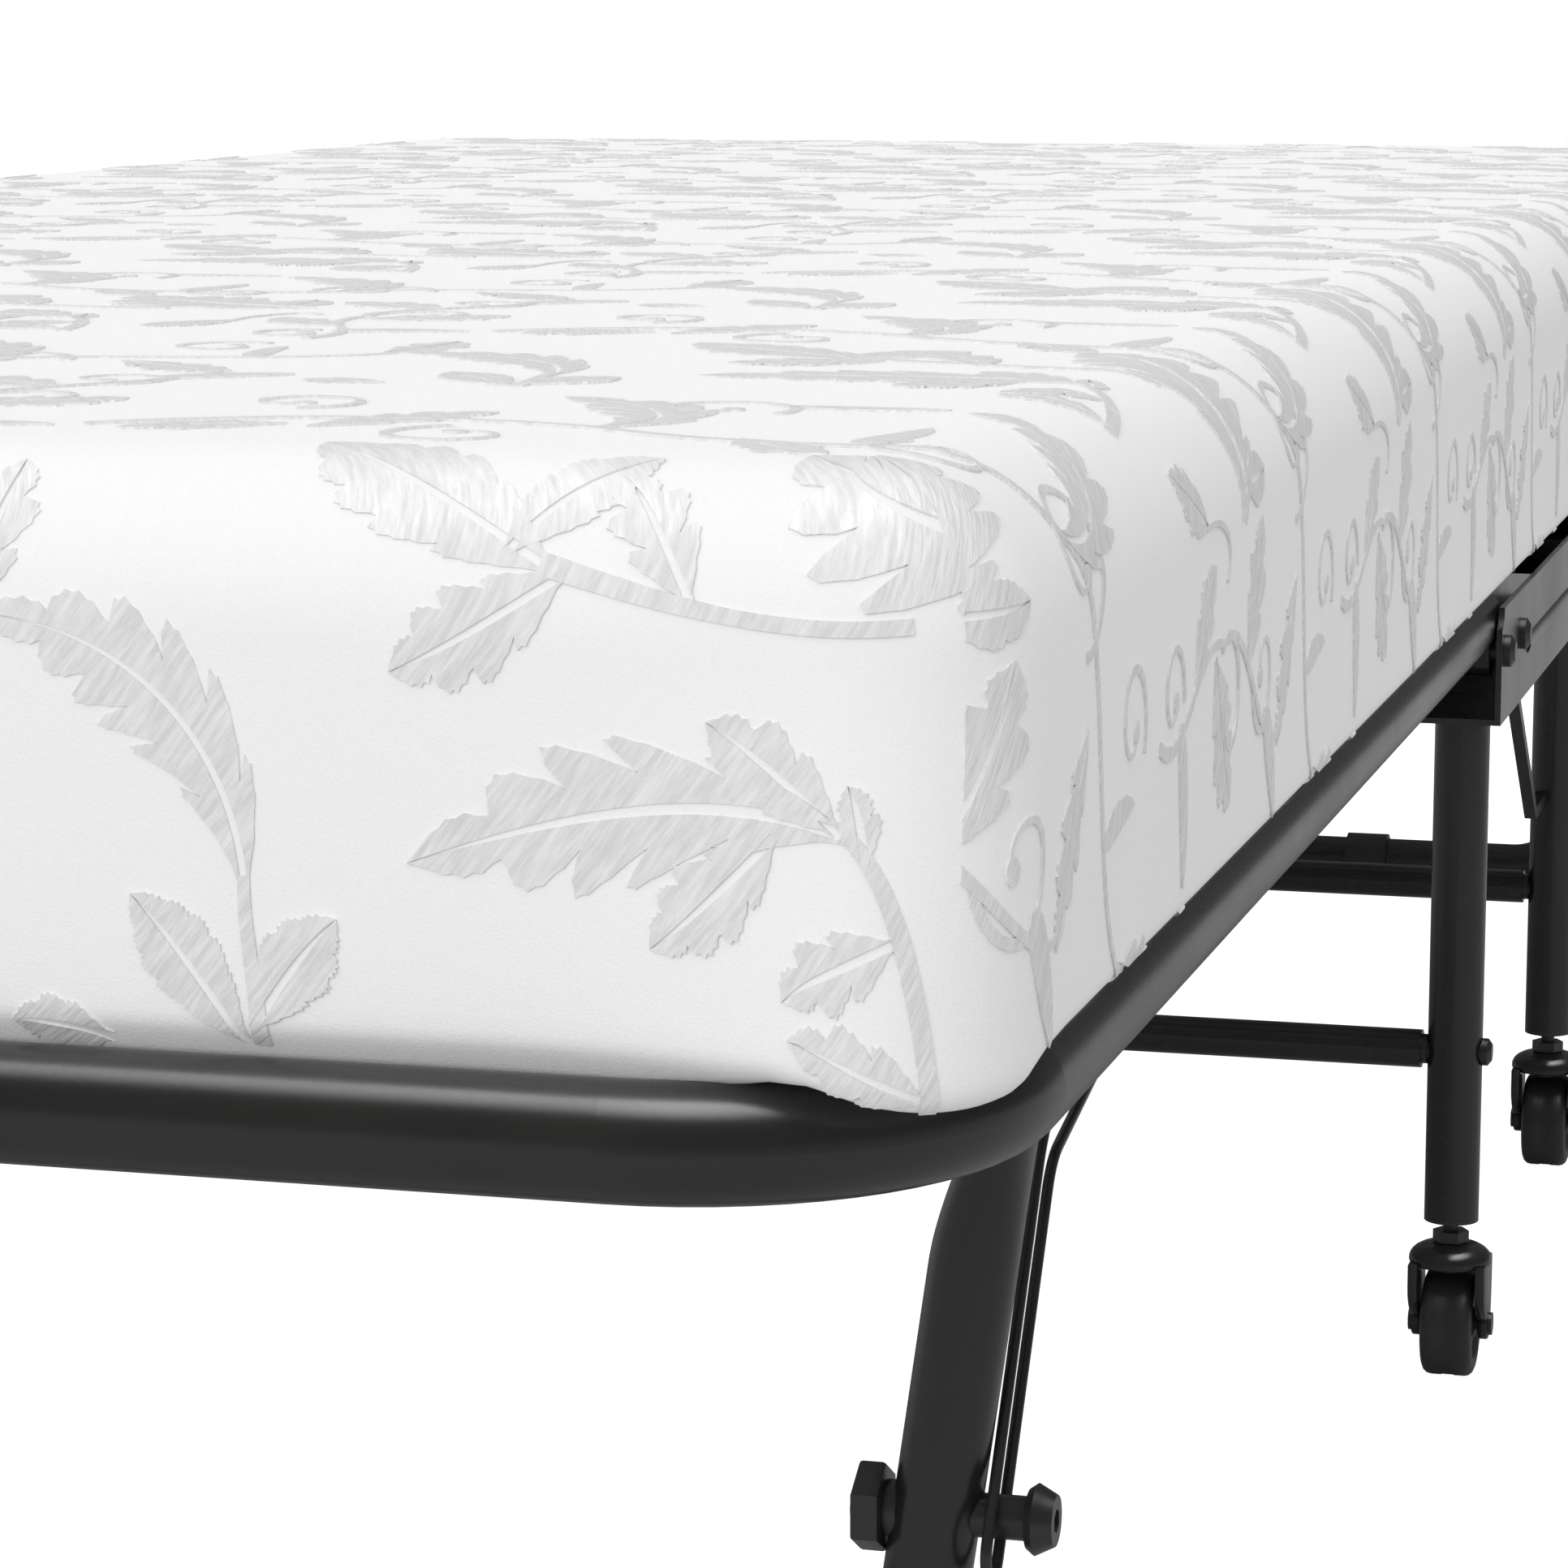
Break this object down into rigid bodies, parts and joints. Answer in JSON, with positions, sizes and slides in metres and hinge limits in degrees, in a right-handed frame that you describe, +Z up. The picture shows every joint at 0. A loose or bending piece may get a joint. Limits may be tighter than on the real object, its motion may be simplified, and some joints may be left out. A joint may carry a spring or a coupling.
{
  "type": "rollaway bed",
  "caption": "Folding rollaway bed: black tube frame with a casters-and-channel centre section, U-shaped end legs, wire deck and leaf-patterned foam mattress.",
  "frame": {"origin": "on the floor under the middle of the bed", "axes": "+Z up, +Y along the bed towards its head end, +X across it to the right side"},
  "size_m": [0.7974, 1.939, 0.3965],
  "materials": {
    "frame_paint": "satin black powder coat",
    "wire": "satin black powder coat",
    "rod_black": "black oxide with a soft shine",
    "bolt_black": "black zinc, semi-gloss",
    "caster_black": "glossy black enamel",
    "wheel_black": "moulded nylon, smooth",
    "glide_plastic": "moulded plastic, fine texture",
    "ticking": "smooth white knit with a raised satin leaf pattern"
  },
  "bodies": {
    "centre": {"side_channel_right": "frame_paint", "side_channel_left": "frame_paint", "channel_bolts": "bolt_black", "channel_nuts": "bolt_black", "channel_spacers": "frame_paint", "wheeled_legs_right": "frame_paint", "wheeled_legs_left": "frame_paint", "cross_bar_foot": "frame_paint", "cross_bar_head": "frame_paint", "cross_bar_bolts": "bolt_black", "stay_right": "frame_paint", "stay_left": "frame_paint", "caster_stems": "bolt_black", "deck_tubes_centre": "frame_paint", "deck_wires_centre": "wire", "mattress_centre": "ticking"},
    "frame_foot": {"frame_tube_foot": "frame_paint", "hinge_lugs_foot": "frame_paint", "deck_tubes_foot": "frame_paint", "deck_wires_foot": "wire", "hanger_rods_foot": "rod_black", "hanger_plates_foot": "frame_paint", "hanger_bolts_foot": "bolt_black", "leg_stops_foot": "frame_paint", "mattress_foot": "ticking"},
    "leg_foot": {"u_leg_foot": "frame_paint", "leg_tops_foot": "frame_paint", "leg_bolts_foot": "bolt_black", "leg_sleeves_foot": "bolt_black", "leg_nuts_foot": "bolt_black", "leg_glides_foot": "glide_plastic"},
    "frame_head": {"frame_tube_head": "frame_paint", "hinge_lugs_head": "frame_paint", "deck_tubes_head": "frame_paint", "deck_wires_head": "wire", "hanger_rods_head": "rod_black", "hanger_plates_head": "frame_paint", "hanger_bolts_head": "bolt_black", "leg_stops_head": "frame_paint", "mattress_head": "ticking"},
    "leg_head": {"u_leg_head": "frame_paint", "leg_tops_head": "frame_paint", "leg_bolts_head": "bolt_black", "leg_sleeves_head": "bolt_black", "leg_nuts_head": "bolt_black", "leg_glides_head": "glide_plastic"},
    "swivel_foot_right": {"caster_fork_foot_right": "caster_black", "caster_axle_foot_right": "bolt_black"},
    "wheel_foot_right": {"caster_wheel_foot_right": "wheel_black"},
    "swivel_foot_left": {"caster_fork_foot_left": "caster_black", "caster_axle_foot_left": "bolt_black"},
    "wheel_foot_left": {"caster_wheel_foot_left": "wheel_black"},
    "swivel_head_right": {"caster_fork_head_right": "caster_black", "caster_axle_head_right": "bolt_black"},
    "wheel_head_right": {"caster_wheel_head_right": "wheel_black"},
    "swivel_head_left": {"caster_fork_head_left": "caster_black", "caster_axle_head_left": "bolt_black"},
    "wheel_head_left": {"caster_wheel_head_left": "wheel_black"}
  },
  "joints": [
    {"name": "fold_foot", "type": "hinge", "parent": "centre", "child": "frame_foot", "pos_m": [0, -0.164, 0.26], "axis": [-1, 0, 0], "range_deg": [0, 90]},
    {"name": "leg_swing_foot", "type": "hinge", "parent": "frame_foot", "child": "leg_foot", "pos_m": [0, -0.8, 0.149], "axis": [1, 0, 0], "range_deg": [0, 90]},
    {"name": "fold_head", "type": "hinge", "parent": "centre", "child": "frame_head", "pos_m": [0, 0.164, 0.26], "axis": [1, 0, 0], "range_deg": [0, 90]},
    {"name": "leg_swing_head", "type": "hinge", "parent": "frame_head", "child": "leg_head", "pos_m": [0, 0.8, 0.149], "axis": [-1, 0, 0], "range_deg": [0, 90]},
    {"name": "caster_swivel_foot_right", "type": "hinge", "parent": "centre", "child": "swivel_foot_right", "pos_m": [0.3805, -0.159, 0.045], "axis": [0, 0, 1], "continuous": true},
    {"name": "wheel_spin_foot_right", "type": "hinge", "parent": "swivel_foot_right", "child": "wheel_foot_right", "pos_m": [0.3805, -0.154, 0.019], "axis": [1, 0, 0], "continuous": true},
    {"name": "caster_swivel_foot_left", "type": "hinge", "parent": "centre", "child": "swivel_foot_left", "pos_m": [-0.3805, -0.159, 0.045], "axis": [0, 0, 1], "continuous": true},
    {"name": "wheel_spin_foot_left", "type": "hinge", "parent": "swivel_foot_left", "child": "wheel_foot_left", "pos_m": [-0.3805, -0.154, 0.019], "axis": [1, 0, 0], "continuous": true},
    {"name": "caster_swivel_head_right", "type": "hinge", "parent": "centre", "child": "swivel_head_right", "pos_m": [0.3805, 0.159, 0.045], "axis": [0, 0, 1], "continuous": true},
    {"name": "wheel_spin_head_right", "type": "hinge", "parent": "swivel_head_right", "child": "wheel_head_right", "pos_m": [0.3805, 0.164, 0.019], "axis": [1, 0, 0], "continuous": true},
    {"name": "caster_swivel_head_left", "type": "hinge", "parent": "centre", "child": "swivel_head_left", "pos_m": [-0.3805, 0.159, 0.045], "axis": [0, 0, 1], "continuous": true},
    {"name": "wheel_spin_head_left", "type": "hinge", "parent": "swivel_head_left", "child": "wheel_head_left", "pos_m": [-0.3805, 0.164, 0.019], "axis": [1, 0, 0], "continuous": true}
  ],
  "couplings": [
    {"joint": "leg_swing_foot", "follows": "fold_foot", "ratio": 1},
    {"joint": "leg_swing_head", "follows": "fold_head", "ratio": 1}
  ]
}
